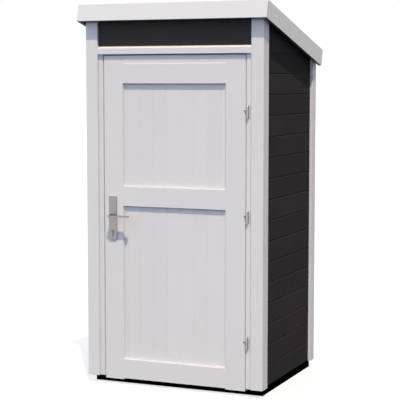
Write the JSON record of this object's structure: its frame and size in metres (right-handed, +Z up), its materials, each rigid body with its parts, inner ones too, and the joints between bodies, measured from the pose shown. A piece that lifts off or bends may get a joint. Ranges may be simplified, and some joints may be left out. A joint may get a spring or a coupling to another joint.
{
  "type": "wooden garden tool shed",
  "caption": "Narrow painted timber tool shed with a mono-pitch roof, dark board walls, white corner posts and a framed panel door with a lever lock on barrel hinges.",
  "frame": {"origin": "on the ground, under the middle of the roof's outline", "axes": "+Z up, -Y out of the front with the door, +X to the right of someone who faces the door"},
  "size_m": [1.124, 0.9658, 2.137],
  "materials": {
    "white_paint": "satin white paint",
    "dark_paint": "satin anthracite paint",
    "black_bearer": "black preservative",
    "bare_timber": "planed softwood",
    "roofing_felt": "mineral bitumen felt",
    "steel": "satin steel",
    "brass": "satin brass"
  },
  "bodies": {
    "shed": {"front_left_post": "white_paint", "front_right_post": "white_paint", "back_left_post": "white_paint", "back_right_post": "white_paint", "left_jamb": "white_paint", "right_jamb": "white_paint", "header": "white_paint", "front_fascia": "white_paint", "left_fascia": "white_paint", "right_fascia": "white_paint", "left_wall": "dark_paint", "right_wall": "dark_paint", "back_wall": "dark_paint", "transom_panel": "dark_paint", "roof_deck": "dark_paint", "base_front_bearer": "black_bearer", "base_back_bearer": "black_bearer", "base_left_bearer": "black_bearer", "base_right_bearer": "black_bearer", "base_middle_bearer": "black_bearer", "floor": "bare_timber", "threshold": "bare_timber", "front_purlin": "bare_timber", "back_purlin": "bare_timber", "roof_felt": "roofing_felt", "strike_plate": "steel", "hinge_frame_halves": "steel"},
    "door": {"door_lock_stile": "white_paint", "door_hinge_stile": "white_paint", "door_top_rail": "white_paint", "door_mid_rail": "white_paint", "door_bottom_rail": "white_paint", "door_upper_panel": "white_paint", "door_lower_panel": "white_paint", "outer_lock_plate": "steel", "inner_lock_plate": "steel", "lock_cylinder": "brass", "lock_face_plate": "steel", "hinge_door_halves": "steel"},
    "lever": {"outer_lever": "steel", "inner_lever": "steel", "lever_spindle": "steel"}
  },
  "joints": [
    {"name": "door_swing", "type": "hinge", "parent": "shed", "child": "door", "pos_m": [0.436, -0.4279, 1], "axis": [0, 0, 1], "range_deg": [0, 165]},
    {"name": "lever_turn", "type": "hinge", "parent": "door", "child": "lever", "pos_m": [-0.3725, -0.4, 0.962], "axis": [0, 1, 0], "range_deg": [0, 40], "stiffness_Nm_per_rad": 1.5, "springref_deg": -17.19}
  ]
}
